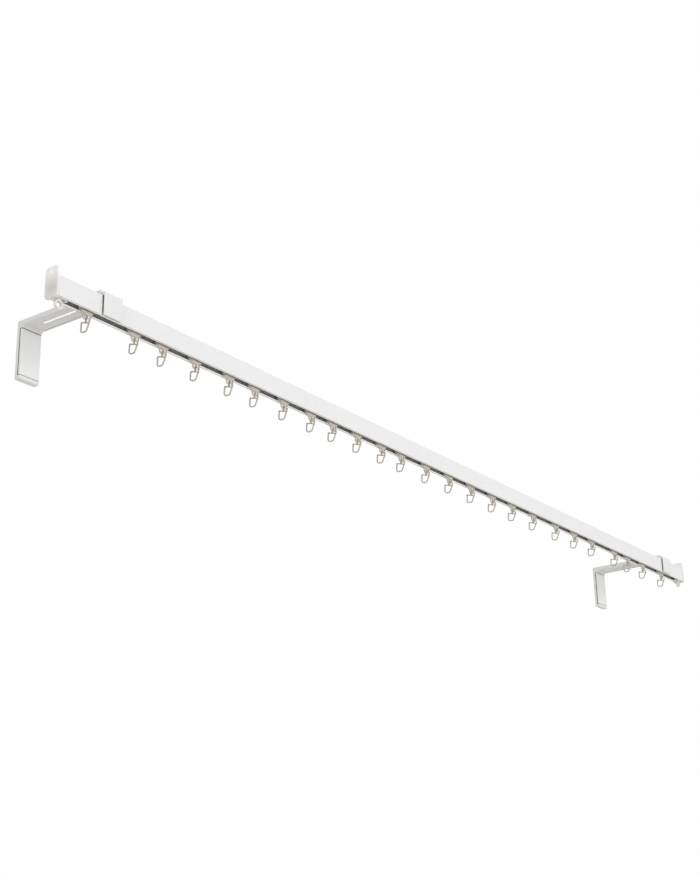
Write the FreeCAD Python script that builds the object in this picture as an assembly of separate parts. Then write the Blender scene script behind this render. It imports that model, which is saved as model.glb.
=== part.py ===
import FreeCAD, Part
import math
import os

# Curtain track on two wall brackets, in millimetres.
# X runs along the rail, the wall is the plane Y = 0 with the room at -Y, and Z is up.
# The origin is the centre of the four wall holes, in the plane of the wall.

# Rail: an extruded profile with a running channel below and a closed chamber above
rail_length = 1400.0
rail_depth = 14.4
rail_height = 22.1
rail_wall = 1.1
slot_width = 7.4
lip_rise = 0.5
lip_thickness = 1.2
runner_height = 7.6
rail_top_round = 0.8
rail_edge_round = 0.35
snap_groove_height = 14.0
snap_groove_width = 1.6
snap_groove_depth = 0.5

# Where the rail hangs; it lies a little to the left of midway between the brackets
rail_reach = 117.8
rail_shift = -3.0
bracket_inset = 67.9

# Wall bracket: a moulded angle whose leg is open to the room and whose arm is open upwards
bracket_width = 27.0
bracket_flange = 2.0
bracket_web = 1.8
leg_height = 66.0
leg_depth = 7.4
leg_foot = 4.0
leg_pocket_margin = 2.5
arm_height = 5.5
arm_back_wall = 9.0
arm_tip_setback = 2.5
arm_web_rise = 0.4
inner_corner_round = 3.2
adjust_slot_width = 5.0
adjust_slot_start = 23.5
adjust_slot_end_share = 0.999
wall_hole_radius = 2.4
wall_hole_pitch = 32.0

# Cover plate over the wall screws
cover_thickness = 2.6
cover_shadow_gap = 0.7
cover_end_gap = 0.5
cover_skirt = 1.2
cover_fit = 0.15
cover_edge_bevel = 0.4

# Clip that grips the rail under the arm; its front wall stands off the rail on a rib
clip_width = 25.6
clip_wall = 1.5
clip_plate = 1.0
clip_stand_off = 1.7
clip_front_wall = 0.9
clip_rib_low = 3.0
clip_rib_height = 2.0
clip_rib_inset = 4.0
clip_upstand_top = 25.6
clip_upstand_thickness = 2.6
clip_back_below_groove = 1.8
clip_barb = 0.4
clip_barb_fit = 0.1
clip_edge_round = 0.5
clip_key_length = 4.8
clip_key_fit = 0.1
clip_key_below_web_top = 0.2
clip_screw_setback = 3.5

# Clip screw
screw_radius = 1.3
screw_hex_radius = 4.2
screw_hex_height = 2.8
screw_tip_clearance = 0.1

# End cap
cap_thickness = 3.4
cap_drop = 1.5
cap_height = 33.8
cap_overhang_front = 0.5
cap_overhang_back = 3.0
cap_corner_round = 3.5
cap_plug_length = 9.0
cap_plug_fit = 0.1
cap_plug_wall = 2.2
cap_tongue_length = 17.0
cap_tongue_fit = 0.4
cap_tongue_thickness = 1.4
cap_tongue_hole_length = 5.5
cap_tongue_hole_width = 2.6
cap_tongue_hole_round = 1.0
cap_tongue_hole_inset = 12.0
cap_ring_radius = 5.0
cap_ring_bore = 3.35
cap_ring_width = 3.0
cap_ring_inset = 6.0
cap_ring_drop = 5.6

# Glider: a head on the rail's lips, a guide block in the slot and an open triangular frame below
glider_head_length = 17.5
glider_head_height = 3.0
glider_head_taper = 2.4
glider_running_gap = 0.25
glider_side_gap = 0.4
glider_guide_length = 16.4
glider_guide_gap = 0.8
glider_guide_rise = 0.3
glider_plate_width = 1.6
glider_frame_top = 14.4
glider_frame_foot = 8.0
glider_frame_bar = 1.0
glider_strut = 1.0
glider_web_half = 1.4
glider_web_gap = 0.8
glider_shoulder_drop = 0.8
glider_pin_drop = 6.3
glider_pin_radius = 0.7
glider_foot_drop = 2.6

# Hook that hangs on the glider's pin; distances are measured from the pin's axis
hook_eye_clearance = 0.12
hook_ring_radius = 2.0
hook_thickness = 1.4
hook_wire = 1.3
hook_wall_top = 7.6
hook_wall_foot = 8.4
hook_bar_drop = 2.2
hook_bar_slope = 0.326
hook_bottom = 15.15
hook_foot_room = 0.45
hook_room_slope = 0.506
hook_elbow_drop = 6.6
hook_tip_reach = 5.6
hook_tip_drop = 2.3
hook_neck_room = -0.1
hook_neck_wall = 1.9
hook_top_round = 1.2
hook_foot_wall_round = 4.0
hook_foot_room_round = 2.2
hook_mouth_gap = 0.6

# Places of the 25 gliders as shares of the rail's length, as they hang in the photograph
glider_shares = [
    0.0315, 0.0801, 0.1099, 0.1465, 0.1859, 0.2169, 0.2538, 0.2904, 0.3201,
    0.3556, 0.3919, 0.4221, 0.4624, 0.5010, 0.5396, 0.5783, 0.6161, 0.6571,
    0.7039, 0.7434, 0.7823, 0.8349, 0.8661, 0.9037, 0.9507,
]

# Levels and planes worked out from the sizes above
slot_y = -rail_reach
rail_front_y = slot_y - rail_depth / 2
rail_back_y = slot_y + rail_depth / 2
rail_left = rail_shift - rail_length / 2
rail_right = rail_shift + rail_length / 2
lip_top = lip_rise + lip_thickness
runner_top = lip_top + runner_height
chamber_bottom = runner_top + rail_wall
chamber_top = rail_height - rail_wall
leg_flange_depth = leg_depth - cover_thickness - cover_shadow_gap
cover_span = leg_height - leg_foot - arm_height - inner_corner_round
leg_bottom = -(leg_foot + cover_span / 2)
arm_top = leg_bottom + leg_height
arm_under = arm_top - arm_height
rail_bottom = arm_under - clip_plate - rail_height
arm_web_under = arm_under + arm_web_rise
arm_web_top = arm_web_under + bracket_web
cover_bottom = leg_bottom + leg_foot
cover_top = cover_bottom + cover_span
arm_tip_y = rail_front_y + arm_tip_setback
clip_screw_y = slot_y + clip_screw_setback
pin_z = rail_bottom - glider_pin_drop
bracket_x = -rail_length / 2 + bracket_inset


def box(x0, x1, y0, y1, z0, z1):
    """A block between two corners."""
    return Part.makeBox(x1 - x0, y1 - y0, z1 - z0, FreeCAD.Vector(x0, y0, z0))


def corner_points(corners, i):
    """Start, middle and end of the round at corner i of an outline given as (a, b, radius)."""
    here = FreeCAD.Vector(corners[i][0], corners[i][1], 0)
    before = FreeCAD.Vector(corners[i - 1][0], corners[i - 1][1], 0)
    after = FreeCAD.Vector(corners[(i + 1) % len(corners)][0], corners[(i + 1) % len(corners)][1], 0)
    radius = corners[i][2]
    if radius == 0:
        return here, here, here
    back = (before - here).normalize()
    on = (after - here).normalize()
    half_angle = back.getAngle(on) / 2
    cut = radius / math.tan(half_angle)
    bisector = (back + on).normalize()
    middle = here + bisector * (radius / math.sin(half_angle) - radius)
    return here + back * cut, middle, here + on * cut


def rounded_face(corners, place):
    """A flat face through corners (a, b, radius); place turns (a, b) into a point in space."""
    points = [corner_points(corners, i) for i in range(len(corners))]
    edges = []
    for i, (start, middle, end) in enumerate(points):
        if corners[i][2] > 0:
            edges.append(Part.Arc(place(start), place(middle), place(end)).toShape())
        following = points[(i + 1) % len(points)][0]
        if (following - end).Length > 1e-6:
            edges.append(Part.makeLine(place(end), place(following)))
    return Part.Face(Part.Wire(edges))


def bevelled(corners):
    """The same outline with each round drawn as two flats, for pieces that are made many times over."""
    flat = []
    for i, corner in enumerate(corners):
        if corner[2] == 0:
            flat.append(corner)
        else:
            flat.extend((p.x, p.y, 0) for p in corner_points(corners, i))
    return flat


def across(corners, x0, x1):
    """Extrude an outline given as (y, z, radius) from x0 to x1."""
    face = rounded_face(corners, lambda p: FreeCAD.Vector(x0, p.x, p.y))
    return face.extrude(FreeCAD.Vector(x1 - x0, 0, 0))


def through(corners, y0, y1):
    """Extrude an outline given as (x, z, radius) from y0 to y1."""
    face = rounded_face(corners, lambda p: FreeCAD.Vector(p.x, y0, p.y))
    return face.extrude(FreeCAD.Vector(0, y1 - y0, 0))


def upright(corners, z0, z1):
    """Extrude an outline given as (x, y, radius) from z0 to z1."""
    face = rounded_face(corners, lambda p: FreeCAD.Vector(p.x, p.y, z0))
    return face.extrude(FreeCAD.Vector(0, 0, z1 - z0))


def block_corners(a0, a1, b0, b1, radius):
    """Four corners of a rectangle with one corner radius."""
    return [(a0, b0, radius), (a1, b0, radius), (a1, b1, radius), (a0, b1, radius)]


def disc(radius, height, x, y, z):
    """An upright cylinder from its bottom centre."""
    return Part.makeCylinder(radius, height, FreeCAD.Vector(x, y, z))


def mirrored(shape):
    """The same piece for the other bracket."""
    return shape.mirror(FreeCAD.Vector(0, 0, 0), FreeCAD.Vector(1, 0, 0))


def at_other_end(shape):
    """The same piece for the rail's other end."""
    return shape.mirror(FreeCAD.Vector(rail_shift, 0, 0), FreeCAD.Vector(1, 0, 0))


def rail_outline():
    """Corners of the rail's outside and its running channel, from the slot's front edge round."""
    half = rail_depth / 2
    slot = slot_width / 2
    inner = half - rail_wall
    groove_low = snap_groove_height - snap_groove_width / 2
    groove_high = snap_groove_height + snap_groove_width / 2
    corners = [
        (-slot, lip_rise, 0),
        (-inner, lip_rise, 0),
        (-inner, 0, 0),
        (-half, 0, rail_edge_round),
        (-half, rail_height, rail_top_round),
        (half, rail_height, rail_top_round),
        (half, groove_high, 0),
        (half - snap_groove_depth, groove_high, 0),
        (half - snap_groove_depth, groove_low, 0),
        (half, groove_low, 0),
        (half, 0, rail_edge_round),
        (inner, 0, 0),
        (inner, lip_rise, 0),
        (slot, lip_rise, 0),
        (slot, lip_top, 0),
        (inner, lip_top, 0),
        (inner, runner_top, 0),
        (-inner, runner_top, 0),
        (-inner, lip_top, 0),
        (-slot, lip_top, 0),
    ]
    return [(slot_y + y, rail_bottom + z, r) for y, z, r in corners]


def chamber_corners(inset):
    """The closed chamber's outline, drawn in from the rail's inner faces by inset."""
    half = rail_depth / 2 - rail_wall - inset
    low = rail_bottom + chamber_bottom + inset
    high = rail_bottom + chamber_top - inset
    return block_corners(slot_y - half, slot_y + half, low, high, 0)


def make_rail():
    rail = across(rail_outline(), rail_left, rail_right)
    chamber = across(chamber_corners(0), rail_left, rail_right)
    return rail.cut(chamber)


def make_bracket():
    """The left wall bracket: leg on the wall, arm over the rail."""
    x0 = bracket_x - bracket_width / 2
    x1 = bracket_x + bracket_width / 2
    angle = across([
        (0, leg_bottom, 0),
        (0, arm_top, 0),
        (arm_tip_y, arm_top, 0),
        (arm_tip_y, arm_under, 0),
        (-leg_depth, arm_under, inner_corner_round),
        (-leg_depth, leg_bottom, 0),
    ], x0, x1)
    cover_seat = box(x0, x1, -leg_depth, -leg_flange_depth, cover_bottom, cover_top)
    screw_pocket = through(leg_pocket_corners(0), -leg_flange_depth, -bracket_web)
    arm_pocket = upright(block_corners(
        x0 + bracket_flange, x1 - bracket_flange,
        arm_tip_y + bracket_flange, -arm_back_wall, 0), arm_web_top, arm_top)
    arm_relief = upright(block_corners(
        x0 + bracket_flange, x1 - bracket_flange,
        arm_tip_y + bracket_flange, -leg_depth - inner_corner_round - bracket_flange,
        0), arm_under, arm_web_under)
    half_slot = adjust_slot_width / 2
    adjust_slot = upright(block_corners(
        bracket_x - half_slot, bracket_x + half_slot,
        clip_screw_y - clip_key_length / 2 - half_slot, -adjust_slot_start, half_slot * adjust_slot_end_share),
        arm_under, arm_top)
    bracket = angle.cut([cover_seat, screw_pocket, arm_pocket, arm_relief, adjust_slot])
    holes = []
    for z in (-wall_hole_pitch / 2, wall_hole_pitch / 2):
        front = FreeCAD.Vector(bracket_x, -bracket_web, z)
        holes.append(Part.makeCylinder(wall_hole_radius, bracket_web, front, FreeCAD.Vector(0, 1, 0)))
    return bracket.cut(holes)


def leg_pocket_corners(inset):
    """Outline of the leg's screw pocket, drawn in by inset."""
    half = bracket_width / 2 - bracket_flange - inset
    low = cover_bottom + leg_pocket_margin + inset
    high = cover_top - leg_pocket_margin - inset
    return block_corners(bracket_x - half, bracket_x + half, low, high, 0)


def make_cover():
    """The left cover plate: a flat face with a skirt that plugs into the leg's pocket."""
    back = -(leg_flange_depth + cover_shadow_gap)
    half = bracket_width / 2
    plate = through(block_corners(
        bracket_x - half, bracket_x + half,
        cover_bottom + cover_end_gap, cover_top - cover_end_gap, 0),
        -leg_depth, back)
    front_edges = [e for e in plate.Edges if e.BoundBox.YMax < -leg_depth + 1e-3]
    plate = plate.makeChamfer(cover_edge_bevel, front_edges)
    skirt = through(leg_pocket_corners(cover_fit), back, -bracket_web)
    hollow = through(leg_pocket_corners(cover_fit + cover_skirt), back, -bracket_web)
    return plate.fuse(skirt.cut(hollow)).removeSplitter()


def make_clip():
    """The left rail clip: front wall with a gripping rib, top plate, back wall with a barb, and a key."""
    inside = rail_front_y - clip_stand_off
    front = inside - clip_front_wall
    back = rail_back_y
    top = rail_bottom + rail_height
    plate_top = top + clip_plate
    upstand_top = rail_bottom + clip_upstand_top
    groove = rail_bottom + snap_groove_height
    barb = snap_groove_width / 2 - clip_barb_fit
    back_end = groove - clip_back_below_groove
    x0 = bracket_x - clip_width / 2
    x1 = bracket_x + clip_width / 2
    body = across([
        (inside, rail_bottom, 0),
        (inside, top, 0),
        (back, top, 0),
        (back, groove + barb, 0),
        (back - clip_barb, groove + barb, 0),
        (back - clip_barb, groove, 0),
        (back, groove - barb, 0),
        (back, back_end, 0),
        (back + clip_wall, back_end, 0),
        (back + clip_wall, plate_top, 0),
        (front + clip_upstand_thickness, plate_top, 0),
        (front + clip_upstand_thickness, upstand_top, 0),
        (front, upstand_top, clip_edge_round),
        (front, rail_bottom, 0),
    ], x0, x1)
    rib_low = rail_bottom + clip_rib_low
    rib = box(x0 + clip_rib_inset, x1 - clip_rib_inset,
              inside, rail_front_y, rib_low, rib_low + clip_rib_height)
    key_top = arm_web_top - clip_key_below_web_top
    key_half = adjust_slot_width / 2 - clip_key_fit
    key = box(bracket_x - key_half, bracket_x + key_half,
              clip_screw_y - clip_key_length / 2, clip_screw_y + clip_key_length / 2, top, key_top)
    bore = disc(screw_radius, key_top - top, bracket_x, clip_screw_y, top)
    return body.fuse([rib, key]).cut(bore)


def make_clip_screw():
    """The left clip screw: a hexagon head on the arm's web and a shank in the clip's key."""
    tip = rail_bottom + rail_height + screw_tip_clearance
    shank = disc(screw_radius, arm_web_top - tip, bracket_x, clip_screw_y, tip)
    hexagon = []
    for i in range(6):
        angle = math.radians(60 * i)
        hexagon.append((bracket_x + screw_hex_radius * math.cos(angle),
                        clip_screw_y + screw_hex_radius * math.sin(angle), 0))
    head = upright(hexagon, arm_web_top, arm_web_top + screw_hex_height)
    return shank.fuse(head)


def make_end_cap():
    """The left end cap: end plate, chamber plug, slot tongue and the ring eye below it."""
    plate_low = rail_bottom - cap_drop
    plate = across(block_corners(
        rail_front_y - cap_overhang_front, rail_back_y + cap_overhang_back,
        plate_low, plate_low + cap_height, cap_corner_round),
        rail_left - cap_thickness, rail_left)
    plug = across(chamber_corners(cap_plug_fit), rail_left, rail_left + cap_plug_length)
    split_half = rail_depth / 2 - rail_wall - cap_plug_fit - cap_plug_wall
    split = box(rail_left + cap_plug_wall, rail_left + cap_plug_length,
                slot_y - split_half, slot_y + split_half,
                rail_bottom + chamber_bottom, rail_bottom + chamber_top)
    tongue_half = slot_width / 2 - cap_tongue_fit
    tongue_low = rail_bottom + lip_top - cap_tongue_thickness
    tongue_high = tongue_low + cap_tongue_thickness
    tongue_end = rail_left + cap_tongue_length
    tongue = upright([
        (rail_left, slot_y - tongue_half, 0),
        (tongue_end - tongue_half, slot_y - tongue_half, 0),
        (tongue_end, slot_y - tongue_half / 2, 0),
        (tongue_end, slot_y + tongue_half / 2, 0),
        (tongue_end - tongue_half, slot_y + tongue_half, 0),
        (rail_left, slot_y + tongue_half, 0),
    ], tongue_low, tongue_high)
    hole_x = rail_left + cap_tongue_hole_inset
    hole = upright(bevelled(block_corners(
        hole_x - cap_tongue_hole_length / 2, hole_x + cap_tongue_hole_length / 2,
        slot_y - cap_tongue_hole_width / 2, slot_y + cap_tongue_hole_width / 2, cap_tongue_hole_round)),
        tongue_low, tongue_high)
    ring_x = rail_left + cap_ring_inset
    ring_z = tongue_low - cap_ring_drop
    ring_front = FreeCAD.Vector(ring_x, slot_y - cap_ring_width / 2, ring_z)
    along_y = FreeCAD.Vector(0, 1, 0)
    ring = Part.makeCylinder(cap_ring_radius, cap_ring_width, ring_front, along_y)
    eye = Part.makeCylinder(cap_ring_bore, cap_ring_width, ring_front, along_y)
    neck = box(ring_x - cap_ring_radius / 2, ring_x + cap_ring_radius / 2,
               slot_y - cap_ring_width / 2, slot_y + cap_ring_width / 2,
               ring_z + cap_ring_bore, tongue_low + cap_tongue_thickness / 2)
    cap = plate.fuse([plug.cut(split), tongue.cut(hole), ring, neck])
    return cap.cut(eye).removeSplitter()


def eight_sided(radius):
    """Corners of a regular octagon of this corner radius, flat side up, clockwise from its lower left."""
    turns = [math.radians(202.5 - 45 * i) for i in range(8)]
    return [(radius * math.cos(t), radius * math.sin(t), 0) for t in turns]


def about_pin(corners):
    """Outline corners measured from the pin's axis, moved to where the pin lies."""
    return [(slot_y + y, pin_z + z, r) for y, z, r in corners]


def make_glider(x):
    """A glider: tapered head, guide block in the slot, and an open frame with a pin across its feet."""
    head_low = rail_bottom + lip_top + glider_running_gap
    head_end = glider_head_length / 2
    head_side = rail_depth / 2 - rail_wall - glider_side_gap
    nose = head_side - glider_head_taper
    head = upright([
        (x - head_end, slot_y - nose, 0),
        (x - head_end + glider_head_taper, slot_y - head_side, 0),
        (x + head_end - glider_head_taper, slot_y - head_side, 0),
        (x + head_end, slot_y - nose, 0),
        (x + head_end, slot_y + nose, 0),
        (x + head_end - glider_head_taper, slot_y + head_side, 0),
        (x - head_end + glider_head_taper, slot_y + head_side, 0),
        (x - head_end, slot_y + nose, 0),
    ], head_low, head_low + glider_head_height)
    guide_end = glider_guide_length / 2
    guide_side = slot_width / 2 - glider_guide_gap
    guide = box(x - guide_end, x + guide_end, slot_y - guide_side, slot_y + guide_side,
                rail_bottom + glider_guide_rise, head_low)
    top = glider_frame_top / 2
    foot = glider_frame_foot / 2
    shoulder = rail_bottom - glider_shoulder_drop
    foot_z = pin_z - glider_foot_drop
    lean = (top - foot) / (shoulder - foot_z)
    strut = glider_strut * math.sqrt(1 + lean * lean)
    open_top = shoulder - glider_frame_bar
    open_side = foot + lean * (open_top - foot_z) - strut
    right_half = [
        (top, head_low),
        (top, shoulder),
        (foot, foot_z),
        (foot - strut, foot_z),
        (open_side, open_top),
        (glider_web_half, pin_z + hook_ring_radius + glider_web_gap),
    ]
    left_half = [(-a, z) for a, z in reversed(right_half)]
    side = glider_plate_width / 2
    frame = through([(x + a, z, 0) for a, z in right_half + left_half], slot_y - side, slot_y + side)
    pin_end = foot + lean * (pin_z - foot_z) - strut / 2
    pin = across(about_pin(eight_sided(glider_pin_radius)), x - pin_end, x + pin_end)
    return head.fuse([guide, frame, pin]).removeSplitter()


def make_hook(x):
    """A hook: eye on the pin, a neck to the top bar, and a loop whose free room end springs open."""
    room_across = hook_wire * math.sqrt(1 + hook_room_slope * hook_room_slope)
    bar_across = hook_wire * math.sqrt(1 + hook_bar_slope * hook_bar_slope)

    def bar_top(y):
        return -hook_bar_drop - hook_bar_slope * (hook_wall_top - y)

    def room_outside(z):
        return -hook_foot_room - hook_room_slope * (hook_bottom + z)

    def room_inside(z):
        return room_outside(z) + room_across

    inner_foot = -hook_bottom + hook_wire
    elbow = -hook_elbow_drop
    nose = room_inside(elbow) + hook_mouth_gap
    wall_inside = hook_wall_top - hook_wire
    ring = eight_sided(hook_ring_radius)
    corners = ring[:6] + [
        (hook_neck_wall, bar_top(hook_neck_wall), 0),
        (hook_wall_top, bar_top(hook_wall_top), hook_top_round),
        (hook_wall_foot, -hook_bottom, hook_foot_wall_round),
        (-hook_foot_room, -hook_bottom, hook_foot_room_round),
        (room_outside(elbow), elbow, 0),
        (-hook_tip_reach, -hook_tip_drop, 0),
        (hook_wire - hook_tip_reach, -hook_tip_drop, 0),
        (room_inside(elbow), elbow, 0),
        (room_inside(inner_foot), inner_foot, 0),
        (hook_wall_foot - hook_wire, inner_foot, hook_foot_wall_round - hook_wire),
        (wall_inside, bar_top(wall_inside) - bar_across, 0),
        (nose, bar_top(nose) - bar_across, 0),
        (nose, bar_top(nose), 0),
        (hook_neck_room, bar_top(hook_neck_room), 0),
        ring[7],
    ]
    low = x - hook_thickness / 2
    high = x + hook_thickness / 2
    eye = eight_sided((glider_pin_radius + hook_eye_clearance) / math.cos(math.pi / 8))
    return across(about_pin(bevelled(corners)), low, high).cut(across(about_pin(eye), low, high))


def save(shape, name):
    shape.exportStep("parts/" + name + ".step")


os.makedirs("parts", exist_ok=True)
save(make_rail(), "rail")
end_cap = make_end_cap()
save(end_cap, "end_cap_left")
save(at_other_end(end_cap), "end_cap_right")
left_pieces = {
    "wall_bracket": make_bracket(),
    "cover_plate": make_cover(),
    "rail_clip": make_clip(),
}
for name, shape in left_pieces.items():
    save(shape, name + "_left")
    save(mirrored(shape), name + "_right")
screw = make_clip_screw()
save(Part.makeCompound([screw, mirrored(screw)]), "clip_screws")
for number, share in enumerate(glider_shares, start=1):
    glider_x = rail_left + share * rail_length
    save(make_glider(glider_x), "glider_%02d" % number)
    save(make_hook(glider_x), "hook_%02d" % number)
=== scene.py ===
import math

import bmesh
import bpy
from mathutils import Matrix, Vector


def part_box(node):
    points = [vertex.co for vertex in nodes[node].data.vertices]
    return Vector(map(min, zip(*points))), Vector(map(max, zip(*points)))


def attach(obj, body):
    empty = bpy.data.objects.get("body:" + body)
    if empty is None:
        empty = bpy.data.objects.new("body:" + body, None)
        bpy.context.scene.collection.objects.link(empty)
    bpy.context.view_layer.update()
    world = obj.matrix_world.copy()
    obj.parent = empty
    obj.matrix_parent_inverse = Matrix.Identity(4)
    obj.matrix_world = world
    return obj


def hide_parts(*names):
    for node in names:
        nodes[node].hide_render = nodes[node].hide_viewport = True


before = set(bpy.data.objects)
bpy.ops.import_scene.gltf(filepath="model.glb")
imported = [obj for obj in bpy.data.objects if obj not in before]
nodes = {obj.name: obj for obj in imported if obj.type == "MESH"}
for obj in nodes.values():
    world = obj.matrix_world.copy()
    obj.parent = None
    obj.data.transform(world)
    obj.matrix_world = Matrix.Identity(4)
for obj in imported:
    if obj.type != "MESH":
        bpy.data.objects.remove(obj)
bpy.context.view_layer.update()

# The rail. A real one is a length of extruded aluminium, powder coated white outside.
# Inside the slotted channel the surface is duller, and its colour is painted a little
# greyer than outside: painted shade for the shade in the channel.
MM = 0.001
rail_low, rail_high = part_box("rail")
slot_y = (rail_low.y + rail_high.y) / 2
rail_bottom = rail_low.z
rail_top = rail_high.z
lip_rise = 0.5 * MM
lip_top = 1.7 * MM
slot_half_width = 3.7 * MM
channel_top = 9.4 * MM
channel_half_width = 6.15 * MM
# how far to either side of a face its colour's mask reaches
hair = 0.05 * MM
clip_low, clip_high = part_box("rail_clip_right")
clip_middle = (clip_low.x + clip_high.x) / 2
clip_half = (clip_high.x - clip_low.x) / 2


def screen_colour(code):
    """A colour written as an sRGB hex code, turned to the linear values that shaders take."""
    levels = [int(code[i:i + 2], 16) / 255 for i in (1, 3, 5)]
    return [v / 12.92 if v <= 0.04045 else ((v + 0.055) / 1.055) ** 2.4 for v in levels] + [1.0]


def add_node(tree, kind, settings=None, links=None):
    """Adds one node to a material: settings by socket or property, links as socket to source."""
    node = tree.nodes.new(kind)
    for key, value in (settings or {}).items():
        if isinstance(key, int) or key in node.inputs:
            node.inputs[key].default_value = value
        else:
            setattr(node, key, value)
    for key, source in (links or {}).items():
        tree.links.new(node.inputs[key], source)
    return node


def new_material(name):
    """An empty node material and its tree."""
    material = bpy.data.materials.new(name)
    material.use_nodes = True
    material.node_tree.nodes.clear()
    return material, material.node_tree


def band(tree, value, low, high):
    """A mask that is 1 where a value lies between two limits, else 0."""
    above = add_node(tree, "ShaderNodeMath", {"operation": "GREATER_THAN", 1: low}, {0: value})
    below = add_node(tree, "ShaderNodeMath", {"operation": "LESS_THAN", 1: high}, {0: value})
    return add_node(tree, "ShaderNodeMath", {"operation": "MULTIPLY"},
                    {0: above.outputs[0], 1: below.outputs[0]}).outputs[0]


def both(tree, one, other):
    """A mask that is 1 where two masks overlap."""
    return add_node(tree, "ShaderNodeMath", {"operation": "MULTIPLY"}, {0: one, 1: other}).outputs[0]


def blend(tree, mask, first, second):
    """Colours mixed by a mask; each is a hex code or a socket."""
    settings = {"data_type": "RGBA"}
    links = {0: mask}
    for slot, colour in ((6, first), (7, second)):
        if isinstance(colour, str):
            settings[slot] = screen_colour(colour)
        else:
            links[slot] = colour
    return add_node(tree, "ShaderNodeMix", settings, links).outputs[2]


def powder_coated_aluminium():
    """White powder coat on an extrusion: faint orange peel and die lines outside, dull in the channel, with
    painted shade in the channel, on the slot's edges, under the walls and behind the clips, and painted light
    under the lips.
    """
    material, tree = new_material("powder_coated_aluminium")
    place = add_node(tree, "ShaderNodeTexCoord").outputs["Object"]
    axes = add_node(tree, "ShaderNodeSeparateXYZ", links={0: place})
    from_slot = add_node(tree, "ShaderNodeMath", {"operation": "SUBTRACT", 1: slot_y}, {0: axes.outputs["Y"]})
    side = add_node(tree, "ShaderNodeMath", {"operation": "ABSOLUTE"}, {0: from_slot.outputs[0]}).outputs[0]
    height = axes.outputs["Z"]
    # painted shade: the channel's inside is painted greyer than the coat; the same mask makes it duller
    inside = both(tree, band(tree, side, -1, channel_half_width),
                  band(tree, height, rail_bottom + lip_top - hair, rail_bottom + channel_top))
    # painted shade: the slot's two edge faces are painted near black, for the shade in the slot
    slot_edge_painted_shade = both(tree, band(tree, side, slot_half_width - hair, slot_half_width + hair),
                     band(tree, height, rail_bottom + lip_rise + 2 * hair, rail_bottom + lip_top - hair))
    # painted light: the lips' undersides are painted whiter than the coat, to brighten them
    under_lip_painted_light = both(tree, band(tree, side, slot_half_width, channel_half_width),
                     band(tree, height, rail_bottom + lip_rise - hair, rail_bottom + lip_rise + hair))
    # painted shade: the walls' bottom faces are painted a little darker, a thin painted shadow line along the
    # rail's underside
    under_wall_painted_shade = both(tree, band(tree, side, channel_half_width - 2 * hair, 1),
                      band(tree, height, rail_bottom - hair, rail_bottom + hair))
    # painted shade: the rail's front is painted dark where each clip stands off it, for the shadow in that
    # gap
    along = add_node(tree, "ShaderNodeMath", {"operation": "ABSOLUTE"}, {0: axes.outputs["X"]}).outputs[0]
    front_face = both(tree, band(tree, axes.outputs["Y"], rail_low.y - 2 * hair, rail_low.y + 8 * hair),
                      band(tree, height, rail_bottom + 2 * MM, rail_top))
    clip_shadow_paint = both(tree, band(tree, along, clip_middle - clip_half, clip_middle + clip_half), front_face)
    # orange peel about 1.2 mm from crest to crest
    peel = add_node(tree, "ShaderNodeTexNoise", {"Scale": 1 / (1.2 * MM), "Detail": 2.0}, {"Vector": place})
    # die lines 0.5 mm apart, drawn as streaks that run the whole length of the extrusion
    drawn = add_node(tree, "ShaderNodeMapping", {"Scale": (0.004, 1.0, 1.0)}, {"Vector": place})
    lines = add_node(tree, "ShaderNodeTexNoise", {"Scale": 1 / (0.5 * MM), "Detail": 1.0},
                     {"Vector": drawn.outputs[0]})
    relief = add_node(tree, "ShaderNodeMath", {"operation": "ADD"},
                      {0: peel.outputs["Fac"], 1: lines.outputs["Fac"]})
    mottle = add_node(tree, "ShaderNodeTexNoise", {"Scale": 1 / (60 * MM), "Detail": 3.0}, {"Vector": place})
    coat = blend(tree, mottle.outputs["Fac"], "#E3E3E3", "#E7E7E7")
    colour = coat
    # the painted shade and painted light of the masks above are laid over the coat
    for mask, tint in ((clip_shadow_paint, "#656564"), (under_wall_painted_shade, "#D0D0CF"), (under_lip_painted_light, "#FFFFFE"),
                       (slot_edge_painted_shade, "#484745"), (inside, "#C0BFBC")):
        colour = blend(tree, mask, colour, tint)
    roughness = add_node(tree, "ShaderNodeMapRange", {"To Min": 0.38, "To Max": 0.6}, {0: inside})
    bump = add_node(tree, "ShaderNodeBump", {"Strength": 0.08, "Distance": 0.02 * MM},
                    {"Height": relief.outputs[0]})
    shader = add_node(tree, "ShaderNodeBsdfPrincipled", {"IOR": 1.5},
                      {"Base Color": colour, "Roughness": roughness.outputs[0],
                       "Normal": bump.outputs["Normal"]})
    add_node(tree, "ShaderNodeOutputMaterial", links={"Surface": shader.outputs[0]})
    return material


def dress(piece, material):
    """Gives a piece one material all over."""
    piece.data.materials.clear()
    piece.data.materials.append(material)


dress(nodes["rail"], powder_coated_aluminium())

# The wall brackets, cover plates and rail clips. Real ones are injection moulded in white
# plastic, so every edge has a small round and the faces a fine satin grain. The cover
# clips into the leg over the wall screws, and the rail clip is screwed up under the arm.
cover_low, cover_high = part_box("cover_plate_left")
cover_thickness = 2.6 * MM
cover_back = cover_low.y + cover_thickness
joint_width = 0.6 * MM
joint_depth = 1.0 * MM
joint_start = cover_back - 3 * hair
bracket_low, bracket_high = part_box("wall_bracket_right")
bracket_middle = (bracket_low.x + bracket_high.x) / 2
panel_margin = 2 * MM
panel_half = (bracket_high.x - bracket_low.x) / 2 - panel_margin
arm_depth = 5.5 * MM
arm_under = bracket_high.z - arm_depth
arm_panel_start = 12.6 * MM
panel_line = 0.4 * MM
panel_line_start = panel_half - 5 * hair


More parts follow.
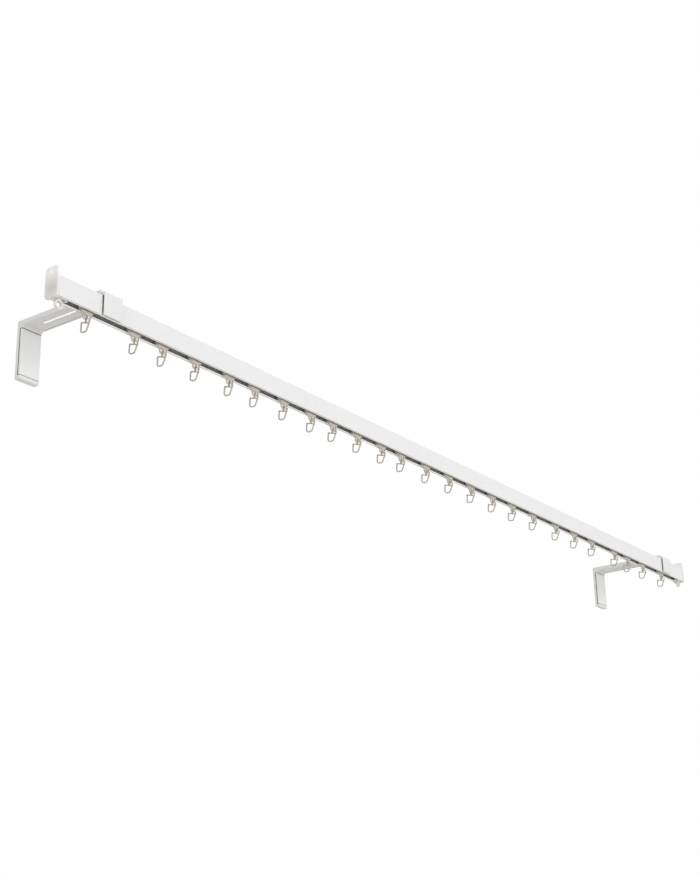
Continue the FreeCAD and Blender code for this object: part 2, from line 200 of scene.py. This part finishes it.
def moulded_white_plastic():
    """White moulded plastic: satin, with the tool's very fine spark grain, painted shade in the covers' gaps
    and along the arm's panel edges, and painted light on the covers.
    """
    material, tree = new_material("moulded_white_plastic")
    place = add_node(tree, "ShaderNodeTexCoord").outputs["Object"]
    axes = add_node(tree, "ShaderNodeSeparateXYZ", links={0: place})
    # spark grain about 0.4 mm across, drawn twice its size so that it shows
    grain = add_node(tree, "ShaderNodeTexNoise", {"Scale": 1 / (0.8 * MM), "Detail": 3.0}, {"Vector": place})
    flow = add_node(tree, "ShaderNodeTexNoise", {"Scale": 1 / (25 * MM), "Detail": 2.0}, {"Vector": place})
    plastic = blend(tree, flow.outputs["Fac"], "#E1E1E0", "#E5E5E4")
    height = axes.outputs["Z"]
    # painted shade: the faces inside the gaps around each cover are painted dark, for the shadow in the gaps
    behind = both(tree, band(tree, axes.outputs["Y"], joint_start, joint_start + joint_depth),
                  band(tree, height, cover_low.z - joint_width, cover_high.z + joint_width))
    in_front = band(tree, axes.outputs["Y"], cover_low.y - 2 * hair, cover_back)
    above = both(tree, in_front, band(tree, height, cover_high.z - 2 * hair, cover_high.z + joint_width))
    below = both(tree, in_front, band(tree, height, cover_low.z - joint_width, cover_low.z + 2 * hair))
    # the arm's underside is moulded with a shallow panel; its two long edges are painted darker, as painted
    # shade of the panel's edges
    along = add_node(tree, "ShaderNodeMath", {"operation": "ABSOLUTE"}, {0: axes.outputs["X"]})
    from_arm = add_node(tree, "ShaderNodeMath", {"operation": "SUBTRACT", 1: bracket_middle},
                        {0: along.outputs[0]})
    across = add_node(tree, "ShaderNodeMath", {"operation": "ABSOLUTE"}, {0: from_arm.outputs[0]}).outputs[0]
    under_arm = both(tree, band(tree, axes.outputs["Y"], slot_y, -arm_panel_start),
                     band(tree, height, arm_under - 2 * hair, arm_under + 10 * hair))
    panel_edge_shade = both(tree, under_arm, band(tree, across, panel_line_start, panel_line_start + panel_line))
    plastic = blend(tree, panel_edge_shade, plastic, "#BDBCB9")
    # painted light: each cover's front is painted a little paler, to offset the shade under the arm
    cover_painted_light = both(tree, in_front, band(tree, height, cover_low.z, cover_high.z))
    plastic = blend(tree, cover_painted_light, plastic, "#E8E8E7")
    # painted shade in the covers' gaps: dark behind each cover, grey lines above and below it
    gap_shaded_plastic = blend(tree, behind, plastic, "#373634")
    for mask in (above, below):
        gap_shaded_plastic = blend(tree, mask, gap_shaded_plastic, "#84837F")
    roughness = add_node(tree, "ShaderNodeMapRange", {"To Min": 0.34, "To Max": 0.46},
                         {0: grain.outputs["Fac"]})
    bump = add_node(tree, "ShaderNodeBump", {"Strength": 0.1, "Distance": 0.02 * MM},
                    {"Height": grain.outputs["Fac"]})
    shader = add_node(tree, "ShaderNodeBsdfPrincipled", {"IOR": 1.5},
                      {"Base Color": gap_shaded_plastic, "Roughness": roughness.outputs[0],
                       "Normal": bump.outputs["Normal"]})
    add_node(tree, "ShaderNodeOutputMaterial", links={"Surface": shader.outputs[0]})
    return material


def finish_edges(piece, radius):
    """Rounds a piece's sharp edges, as a mould does, and keeps its flat faces flat."""
    for face in piece.data.polygons:
        face.use_smooth = True
    bevel = piece.modifiers.new("moulded_edges", "BEVEL")
    bevel.width = radius
    bevel.segments = 3
    bevel.limit_method = "ANGLE"
    bevel.angle_limit = math.radians(35)
    bevel.harden_normals = True


def piece_from(shape, name):
    """Turns a bmesh into an object in the scene."""
    mesh = bpy.data.meshes.new(name)
    shape.to_mesh(mesh)
    shape.free()
    piece = bpy.data.objects.new(name, mesh)
    bpy.context.scene.collection.objects.link(piece)
    return piece


def moulded_copy(node, radius, material):
    """A copy of a fixed CAD piece, merged and with moulded edges, that stands for it."""
    shape = bmesh.new()
    shape.from_mesh(nodes[node].data)
    # wide enough to close the edges of a few microns at the slots' round ends
    bmesh.ops.remove_doubles(shape, verts=shape.verts, dist=0.02 * MM)
    bmesh.ops.dissolve_limit(shape, angle_limit=math.radians(1), verts=shape.verts, edges=shape.edges)
    bmesh.ops.recalc_face_normals(shape, faces=shape.faces)
    piece = piece_from(shape, node + "_moulded")
    finish_edges(piece, radius)
    dress(piece, material)
    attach(piece, "track")
    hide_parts(node)


white_plastic = moulded_white_plastic()
for side in ("left", "right"):
    moulded_copy("wall_bracket_" + side, 0.35 * MM, white_plastic)
    moulded_copy("cover_plate_" + side, 0.3 * MM, white_plastic)
    moulded_copy("rail_clip_" + side, 0.25 * MM, white_plastic)

# The clip screws. Real ones are short zinc plated steel screws with a hexagon head, turned
# down through the arm's slot into the clip.


def bright_zinc_plating():
    """Zinc on steel: pale metal with a soft cloudy sheen."""
    material, tree = new_material("bright_zinc_plating")
    place = add_node(tree, "ShaderNodeTexCoord").outputs["Object"]
    cloud = add_node(tree, "ShaderNodeTexNoise", {"Scale": 1 / (2 * MM), "Detail": 4.0}, {"Vector": place})
    colour = blend(tree, cloud.outputs["Fac"], "#B9BABB", "#D2D3D4")
    roughness = add_node(tree, "ShaderNodeMapRange", {"To Min": 0.28, "To Max": 0.42},
                         {0: cloud.outputs["Fac"]})
    shader = add_node(tree, "ShaderNodeBsdfPrincipled", {"Metallic": 1.0},
                      {"Base Color": colour, "Roughness": roughness.outputs[0]})
    add_node(tree, "ShaderNodeOutputMaterial", links={"Surface": shader.outputs[0]})
    return material


moulded_copy("clip_screws", 0.2 * MM, bright_zinc_plating())

# The end caps. Real ones are moulded in one piece, in a slightly translucent off-white:
# a smooth plate, a plug in the rail's upper chamber, a tongue that closes the
# slot, and a ring eye below it for the curtain's outer hook.
patch_z = rail_bottom + 8 * MM
patch_half = 8 * MM
pale_from = rail_top - 7 * MM
gate_y = slot_y + 1.6 * MM
gate_z = rail_bottom + 26.5 * MM
gate_radius = 1.2 * MM
gate_fade = 2.6 * MM


def translucent_cap_plastic():
    """Off-white polyethylene: waxy gloss and slight translucency, with painted light where no rail stands
    behind, painted shade over the channel and a painted glow near the top.
    """
    material, tree = new_material("translucent_cap_plastic")
    place = add_node(tree, "ShaderNodeTexCoord").outputs["Object"]
    axes = add_node(tree, "ShaderNodeSeparateXYZ", links={0: place})
    height = axes.outputs["Z"]
    haze = add_node(tree, "ShaderNodeTexNoise", {"Scale": 1 / (9 * MM), "Detail": 3.0}, {"Vector": place})
    backed = blend(tree, haze.outputs["Fac"], "#F1F0EB", "#F6F5F1")
    # painted light: the plate is painted paler above the rail's top, for light that comes through it there
    free = add_node(tree, "ShaderNodeMapRange", {"From Min": pale_from, "From Max": pale_from + 8 * MM},
                    {0: height})
    colour = blend(tree, free.outputs[0], backed, "#FFFEFB")
    # painted shade: a soft grey patch is painted on the plate where the rail's open channel stands behind it
    from_slot = add_node(tree, "ShaderNodeMath", {"operation": "SUBTRACT", 1: slot_y}, {0: axes.outputs["Y"]})
    beside = add_node(tree, "ShaderNodeMath", {"operation": "ABSOLUTE"}, {0: from_slot.outputs[0]})
    from_patch = add_node(tree, "ShaderNodeMath", {"operation": "SUBTRACT", 1: patch_z}, {0: height})
    above_or_below = add_node(tree, "ShaderNodeMath", {"operation": "ABSOLUTE"}, {0: from_patch.outputs[0]})
    near_middle = add_node(tree, "ShaderNodeMapRange", {"From Min": patch_half, "From Max": 4 * MM},
                           {0: beside.outputs[0]}).outputs[0]
    near_channel = add_node(tree, "ShaderNodeMapRange", {"From Min": patch_half, "From Max": 1 * MM},
                            {0: above_or_below.outputs[0]}).outputs[0]
    colour = blend(tree, both(tree, near_middle, near_channel), colour, "#E6E5DF")
    # painted light: a small round near the plate's top glows by emission, standing in for light from behind
    # through the thin gate mark
    flat = add_node(tree, "ShaderNodeVectorMath", {"operation": "MULTIPLY", 1: (0, 1, 1)}, {0: place})
    from_gate = add_node(tree, "ShaderNodeVectorMath", {"operation": "DISTANCE", 1: (0, gate_y, gate_z)},
                         {0: flat.outputs[0]})
    painted_gate_glow = add_node(tree, "ShaderNodeMapRange",
                    {"From Min": gate_radius, "From Max": gate_fade, "To Min": 0.16, "To Max": 0.0},
                    {0: from_gate.outputs["Value"]}).outputs[0]
    share = add_node(tree, "ShaderNodeMapRange",
                     {"From Min": pale_from, "From Max": pale_from + 13 * MM, "To Min": 0.18, "To Max": 0.08},
                     {0: height}).outputs[0]
    grain = add_node(tree, "ShaderNodeTexNoise", {"Scale": 1 / (1.0 * MM), "Detail": 2.0}, {"Vector": place})
    bump = add_node(tree, "ShaderNodeBump", {"Strength": 0.1, "Distance": 0.03 * MM},
                    {"Height": grain.outputs["Fac"]}).outputs["Normal"]
    skin = add_node(tree, "ShaderNodeBsdfPrincipled",
                    {"IOR": 1.52, "Roughness": 0.3, "Coat Weight": 1.0, "Coat Roughness": 0.25,
                     "Emission Color": (1, 1, 1, 1)},
                    {"Base Color": colour, "Normal": bump, "Emission Strength": painted_gate_glow})
    through = add_node(tree, "ShaderNodeBsdfTranslucent", links={"Color": colour, "Normal": bump})
    shader = add_node(tree, "ShaderNodeMixShader",
                      links={0: share, 1: skin.outputs[0], 2: through.outputs[0]})
    add_node(tree, "ShaderNodeOutputMaterial", links={"Surface": shader.outputs[0]})
    return material


cap_plastic = translucent_cap_plastic()
for side in ("left", "right"):
    moulded_copy("end_cap_" + side, 0.45 * MM, cap_plastic)

# The gliders. Real ones are moulded in natural nylon: a head that rides on the rail's
# lips, a guide block in the slot, and below it an open triangular frame with a round pin
# across its feet, on which the hook swings.
head_height = 3.0 * MM
head_taper = 2.4 * MM
guide_half_length = 8.2 * MM
guide_half_width = 2.9 * MM
guide_low = rail_bottom + 0.3 * MM
guide_shade = 1.3 * MM
pin_z = rail_bottom - 6.3 * MM
pin_radius = 0.7 * MM
frame_top_half = 7.2 * MM
frame_foot_half = 4.0 * MM
frame_shoulder_z = rail_bottom - 0.8 * MM
frame_half_width = 0.8 * MM
frame_bar = 1.0 * MM
frame_strut = 1.075 * MM
web_half = 1.4 * MM
web_low = pin_z + 2.8 * MM


def natural_nylon(name, dark, light):
    """Natural moulded nylon: beige, slightly translucent, with a soft waxy gloss."""
    material, tree = new_material(name)
    place = add_node(tree, "ShaderNodeTexCoord").outputs["Object"]
    axes = add_node(tree, "ShaderNodeSeparateXYZ", links={0: place})
    haze = add_node(tree, "ShaderNodeTexNoise", {"Scale": 1 / (4 * MM), "Detail": 3.0}, {"Vector": place})
    # painted shade: the guide block's strip next to the rail's front lip is painted dark, for the shadow
    # between them
    front = slot_y - guide_half_width
    lip_shadow_on_guide = both(tree, band(tree, axes.outputs["Y"], front - 2 * hair, front + guide_shade),
                      band(tree, axes.outputs["Z"], guide_low - 2 * hair, rail_bottom + lip_top))
    colour = blend(tree, lip_shadow_on_guide, blend(tree, haze.outputs["Fac"], dark, light), "#877A6B")
    shader = add_node(tree, "ShaderNodeBsdfPrincipled",
                      {"IOR": 1.53, "Roughness": 0.4, "Subsurface Weight": 0.3,
                       "Subsurface Radius": (1.0, 0.9, 0.8), "Subsurface Scale": 0.5 * MM},
                      {"Base Color": colour})
    add_node(tree, "ShaderNodeOutputMaterial", links={"Surface": shader.outputs[0]})
    return material


def flat_outline(shape, corners, place):
    """A flat face through corners (a, b, cut), each cut back and rounded by that length."""
    verts = [shape.verts.new(place(a, b)) for a, b, cut in corners]
    face = shape.faces.new(verts)
    for cut in sorted({c for a, b, c in corners if c > 0}):
        chosen = [v for v, corner in zip(verts, corners) if corner[2] == cut]
        bmesh.ops.bevel(shape, geom=chosen, offset=cut, segments=5, profile=0.5,
                        affect="VERTICES", material=-1)
    return [f for f in shape.faces if len(f.verts) > 2]


def slab(corners, place, along):
    """A plate of this outline, thickened by the vector along."""
    shape = bmesh.new()
    faces = flat_outline(shape, corners, place)
    grown = bmesh.ops.extrude_face_region(shape, geom=faces)
    moved = [v for v in grown["geom"] if isinstance(v, bmesh.types.BMVert)]
    bmesh.ops.translate(shape, verts=moved, vec=along)
    bmesh.ops.recalc_face_normals(shape, faces=shape.faces)
    return shape


def join_into(target, shape):
    """Adds one closed form to another, as the mould fuses them."""
    mesh = bpy.data.meshes.new("part")
    shape.to_mesh(mesh)
    shape.free()
    target.from_mesh(mesh)
    bpy.data.meshes.remove(mesh)


def make_glider(x, name):
    """One glider at x: head, guide block, open frame with a web under the guide, and pin."""
    low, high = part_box(name)
    head_end = (high.x - low.x) / 2
    head_side = (high.y - low.y) / 2
    head_low = high.z - head_height
    glider = slab([
        (x - head_end, slot_y - head_side, head_taper),
        (x + head_end, slot_y - head_side, head_taper),
        (x + head_end, slot_y + head_side, head_taper),
        (x - head_end, slot_y + head_side, head_taper),
    ], lambda a, b: Vector((a, b, head_low)), Vector((0, 0, head_height)))
    guide = bmesh.new()
    bmesh.ops.create_cube(guide, size=1.0, matrix=Matrix.LocRotScale(
        Vector((x, slot_y, (guide_low + head_low) / 2)), None,
        Vector((2 * guide_half_length, 2 * guide_half_width, head_low - guide_low))))
    join_into(glider, guide)
    foot_z = low.z
    lean = (frame_top_half - frame_foot_half) / (frame_shoulder_z - foot_z)
    open_top = frame_shoulder_z - frame_bar
    open_side = frame_foot_half + lean * (open_top - foot_z) - frame_strut
    right_half = [
        (frame_top_half, head_low, 0),
        (frame_top_half, frame_shoulder_z, 0.5 * MM),
        (frame_foot_half, foot_z, 0.4 * MM),
        (frame_foot_half - frame_strut, foot_z, 0.3 * MM),
        (open_side, open_top, 0.4 * MM),
        (web_half, web_low, 0.3 * MM),
    ]
    left_half = [(-a, b, cut) for a, b, cut in reversed(right_half)]
    join_into(glider, slab(
        [(x + a, b, cut) for a, b, cut in right_half + left_half],
        lambda a, b: Vector((a, slot_y - frame_half_width, b)), Vector((0, 2 * frame_half_width, 0))))
    pin = bmesh.new()
    pin_half = frame_foot_half + lean * (pin_z - foot_z) - frame_strut / 2
    across = Matrix.Translation(Vector((x, slot_y, pin_z))) @ Matrix.Rotation(math.pi / 2, 4, "Y")
    bmesh.ops.create_cone(pin, cap_ends=True, segments=20, radius1=pin_radius, radius2=pin_radius,
                          depth=2 * pin_half, matrix=across)
    join_into(glider, pin)
    piece = piece_from(glider, name + "_moulded")
    finish_edges(piece, 0.2 * MM)
    return piece


nylon = natural_nylon("natural_nylon_gliders", "#C8C1B6", "#D2CBC2")
for name in sorted(n for n in nodes if n.startswith("glider_")):
    low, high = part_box(name)
    piece = make_glider((low.x + high.x) / 2, name)
    dress(piece, nylon)
    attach(piece, name)
    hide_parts(name)

# The hooks. Real ones are moulded in the same nylon: an eye that turns on the glider's
# pin, a short neck, and a springy loop whose free end towards the room gives way, so that
# the curtain's tape can be pressed in below the bar.
eye_radius = 0.82 * MM
ring_radius = 2.0 * MM
hook_half = 0.7 * MM
hook_outline = [
    (1.9, -0.7, 0),
    (1.9, -4.06, 0.4),
    (7.6, -2.2, 1.55),
    (8.4, -15.15, 4.25),
    (-0.45, -15.15, 1.35),
    (-4.78, -6.6, 0.3),
    (-5.6, -2.3, 0.4),
    (-4.3, -2.3, 0.4),
    (-3.32, -6.6, 0.3),
    (0.35, -13.85, 0.4),
    (7.1, -13.85, 2.85),
    (6.3, -3.99, 0.5),
    (-2.72, -6.93, 0.4),
    (-2.72, -5.56, 0.4),
    (-0.1, -4.71, 0.5),
    (-0.77, -1.85, 0),
]


def make_hook(x, name):
    """One hook at x: a flat plate to the outline, in mm from the pin, and the eye's ring around the pin."""
    def plane(a, b):
        return Vector((x - hook_half, slot_y + a * MM, pin_z + b * MM))

    loop = slab([(a, b, cut * MM) for a, b, cut in hook_outline], plane, Vector((2 * hook_half, 0, 0)))
    ring = bmesh.new()
    section = [
        ring.verts.new((x - hook_half, slot_y, pin_z + eye_radius)),
        ring.verts.new((x + hook_half, slot_y, pin_z + eye_radius)),
        ring.verts.new((x + hook_half, slot_y, pin_z + ring_radius)),
        ring.verts.new((x - hook_half, slot_y, pin_z + ring_radius)),
    ]
    edges = [ring.edges.new((section[i], section[(i + 1) % 4])) for i in range(4)]
    bmesh.ops.spin(ring, geom=section + edges, cent=(x, slot_y, pin_z), axis=(1, 0, 0),
                   angle=2 * math.pi, steps=28, use_merge=True)
    bmesh.ops.recalc_face_normals(ring, faces=ring.faces)
    join_into(loop, ring)
    piece = piece_from(loop, name + "_moulded")
    finish_edges(piece, 0.35 * MM)
    return piece


# painted shade: the hooks take the gliders' nylon in a darker tone, for the shade they hang in
shaded_hook_nylon = natural_nylon("natural_nylon_hooks_shaded", "#B1AA9E", "#BDB6AC")
for name in sorted(n for n in nodes if n.startswith("hook_")):
    low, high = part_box(name)
    piece = make_hook((low.x + high.x) / 2, name)
    dress(piece, shaded_hook_nylon)
    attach(piece, name)
    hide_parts(name)

# The stage: a pale floor a room's height below the track, a plain white room whose light
# is a little warm, and two large soft lamps that are a little cool.
floor_z = -2.4
floor_half = 30.0
room_light = 0.71
warm_white = (1.0, 0.975, 0.945, 1)
cool_white = (0.985, 1.02, 1.08)


def pale_floor_paint():
    """Matt pale floor paint, which takes a faint shadow."""
    material, tree = new_material("pale_floor_paint")
    shader = add_node(tree, "ShaderNodeBsdfDiffuse", {"Color": screen_colour("#F4F4F4"), "Roughness": 0.5})
    add_node(tree, "ShaderNodeOutputMaterial", links={"Surface": shader.outputs[0]})
    return material


floor_shape = bmesh.new()
bmesh.ops.create_grid(floor_shape, x_segments=1, y_segments=1, size=floor_half,
                      matrix=Matrix.Translation(Vector((0, 0, floor_z))))
floor = piece_from(floor_shape, "floor")
dress(floor, pale_floor_paint())

world = bpy.data.worlds.new("white_room")
bpy.context.scene.world = world
world.use_nodes = True
world.node_tree.nodes.clear()
tree = world.node_tree
rays = add_node(tree, "ShaderNodeLightPath")
seen = add_node(tree, "ShaderNodeMath", {"operation": "MAXIMUM"},
                {0: rays.outputs["Is Camera Ray"], 1: rays.outputs["Is Glossy Ray"]})
room = add_node(tree, "ShaderNodeBackground", {"Color": warm_white, "Strength": room_light})
backdrop = add_node(tree, "ShaderNodeBackground", {"Color": (1, 1, 1, 1), "Strength": 1.0})
mixed = add_node(tree, "ShaderNodeMixShader",
                 links={0: seen.outputs[0], 1: room.outputs[0], 2: backdrop.outputs[0]})
add_node(tree, "ShaderNodeOutputWorld", links={"Surface": mixed.outputs[0]})


def softbox(name, place, aim, size, power):
    """A square studio light at place, turned to face aim."""
    lamp = bpy.data.lights.new(name, "AREA")
    lamp.size = size
    lamp.energy = power
    lamp.color = cool_white
    light = bpy.data.objects.new(name, lamp)
    bpy.context.scene.collection.objects.link(light)
    turn = (Vector(aim) - Vector(place)).to_track_quat("-Z", "Y")
    light.matrix_world = Matrix.Translation(Vector(place)) @ turn.to_matrix().to_4x4()


softbox("front_softbox", (-0.2, -3.0, -0.2), (0, -0.12, 0), 2.0, 36)
softbox("left_softbox", (-3.2, -0.4, 0.5), (-0.6, -0.12, 0), 1.5, 9)

# The camera stands low in the room, left of the track, and looks up along it. Its place
# and turn come from the rail's, brackets' and clips' corners in the photograph.
camera_place = Vector((-1.617292, -1.144068, -0.644192))
turn_right = 0.937
tilt_up = 0.3557
roll = -0.019
focal_pixels = 1528.24
frame_height_pixels = 875
sensor = 36.0
forward = Vector((math.sin(turn_right) * math.cos(tilt_up),
                  math.cos(turn_right) * math.cos(tilt_up),
                  math.sin(tilt_up)))
level = Vector((math.cos(turn_right), -math.sin(turn_right), 0))
upward = level.cross(forward)
right = level * math.cos(roll) + upward * math.sin(roll)
up = upward * math.cos(roll) - level * math.sin(roll)
lens = bpy.data.cameras.new("camera")
lens.sensor_width = sensor
lens.lens = focal_pixels / frame_height_pixels * sensor
camera = bpy.data.objects.new("camera", lens)
bpy.context.scene.collection.objects.link(camera)
turned = Matrix((right, up, -forward)).transposed().to_4x4()
camera.matrix_world = Matrix.Translation(camera_place) @ turned
bpy.context.scene.camera = camera
bpy.context.scene.view_settings.view_transform = "Standard"
